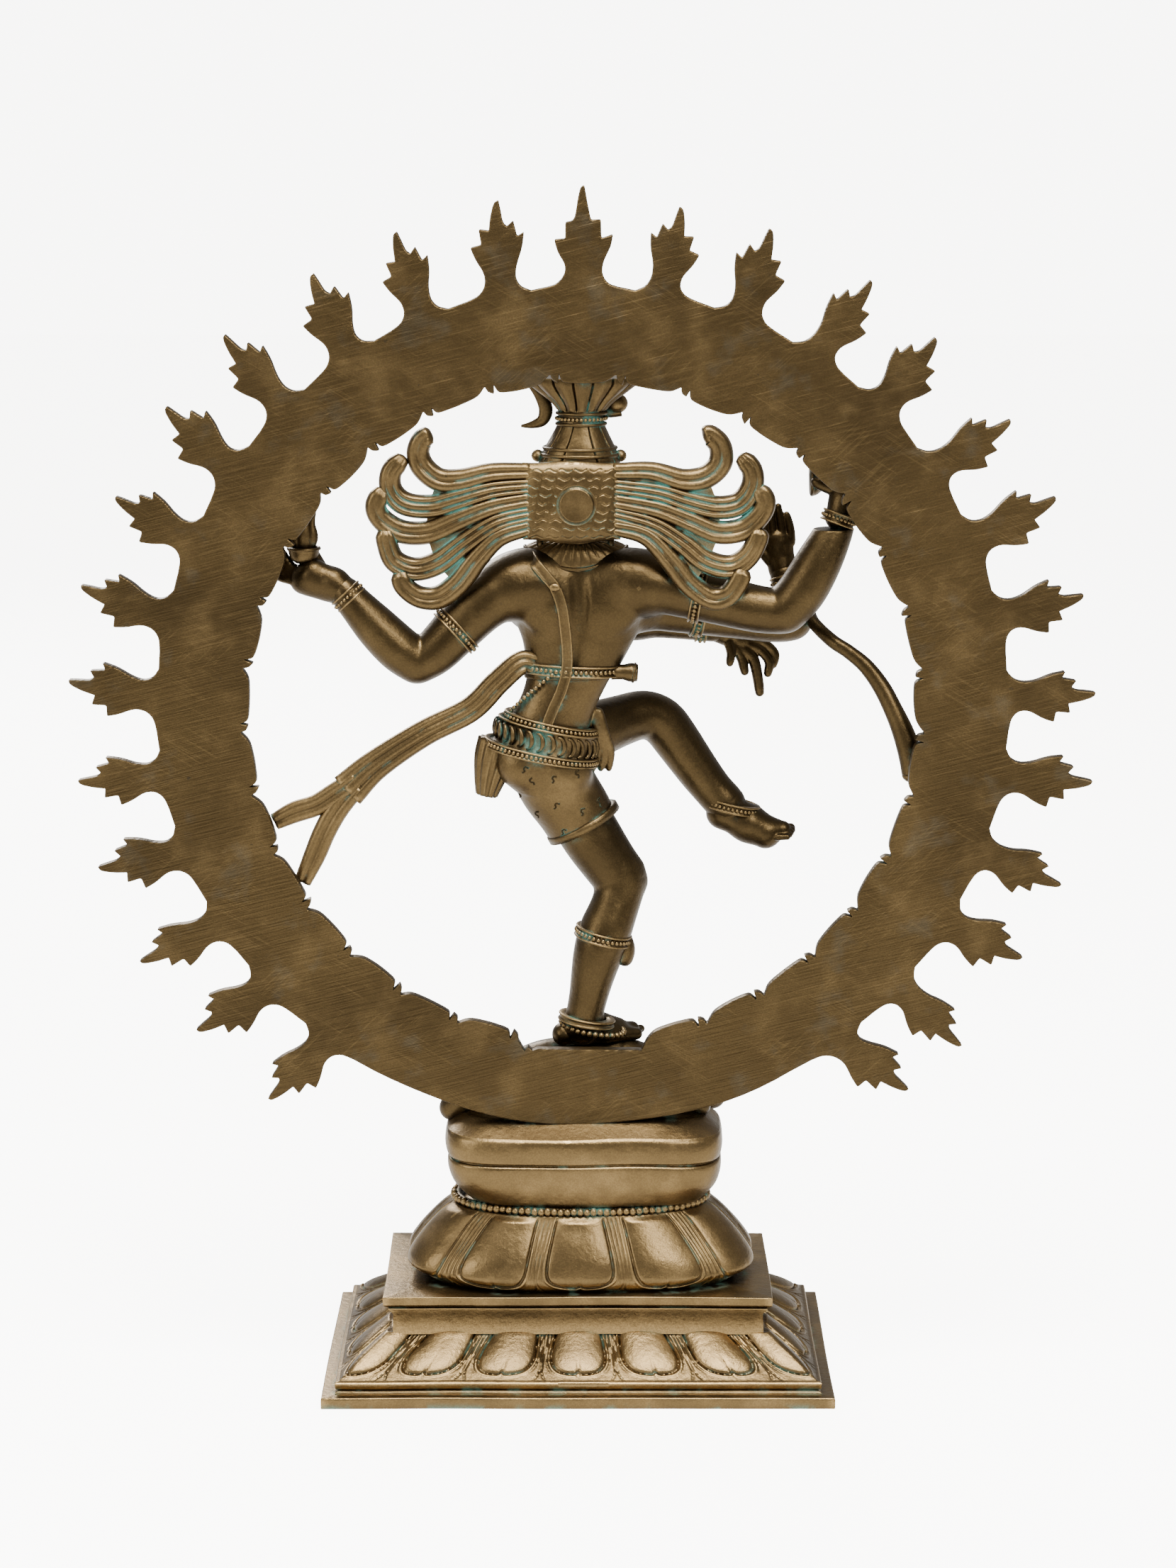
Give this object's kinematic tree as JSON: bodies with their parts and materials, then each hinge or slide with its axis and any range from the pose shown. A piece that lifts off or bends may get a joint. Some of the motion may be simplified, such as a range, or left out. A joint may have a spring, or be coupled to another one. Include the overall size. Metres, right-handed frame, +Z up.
{
  "type": "brass nataraja statue",
  "caption": "Free-standing cast brass dancer with four arms inside an arch of flames, on a dwarf, an oval lotus and a stepped oblong pedestal.",
  "frame": {"origin": "middle of the pedestal's underside, on the surface it stands on", "axes": "+Z up, -Y the way the dancer faces, +X the dancer's own left; the flat filed back of the arch faces +Y"},
  "size_m": [0.421, 0.125, 0.501],
  "materials": {
    "brass": "aged olive-brown patina over cast brass, satin, worn brighter on the high places, green in the recesses",
    "brass_worn": "chased ornament in aged brass, satin, rubbed brighter than the body"
  },
  "bodies": {
    "root": {"anklets": "brass_worn", "armlets": "brass_worn", "base_plate": "brass", "bracelets": "brass_worn", "calf_band": "brass_worn", "calf_bell": "brass_worn", "crown_emblems": "brass_worn", "crown_tower": "brass", "dwarf_arms": "brass", "dwarf_body": "brass", "dwarf_head": "brass", "dwarf_legs": "brass", "dwarf_rock": "brass", "earrings": "brass_worn", "fixing_pins": "brass", "flame_band": "brass", "flame_cup": "brass", "flame_tongues": "brass", "flying_sash": "brass", "hair_boss": "brass_worn", "hair_locks_left": "brass", "hair_locks_right": "brass", "hair_plate": "brass", "hand_drum": "brass", "hand_flame": "brass_worn", "head": "brass", "hip_belt": "brass_worn", "hip_cloth": "brass", "left_front_arm": "brass", "left_front_hand": "brass", "left_rear_arm": "brass", "left_rear_hand": "brass", "lotus_bead_string": "brass_worn", "lotus_cushion": "brass", "lower_lotus_tier": "brass", "neck": "brass", "necklace": "brass_worn", "plinth_neck": "brass", "raised_foot": "brass", "raised_leg": "brass", "right_front_arm": "brass", "right_front_hand": "brass", "right_rear_arm": "brass", "right_rear_hand": "brass", "ring_rims": "brass", "sacred_thread": "brass_worn", "snake": "brass", "standing_foot": "brass", "standing_leg": "brass", "thigh_hem": "brass_worn", "torso": "brass", "upper_slab": "brass", "waist_band": "brass_worn", "waist_knob": "brass"}
  },
  "joints": []
}
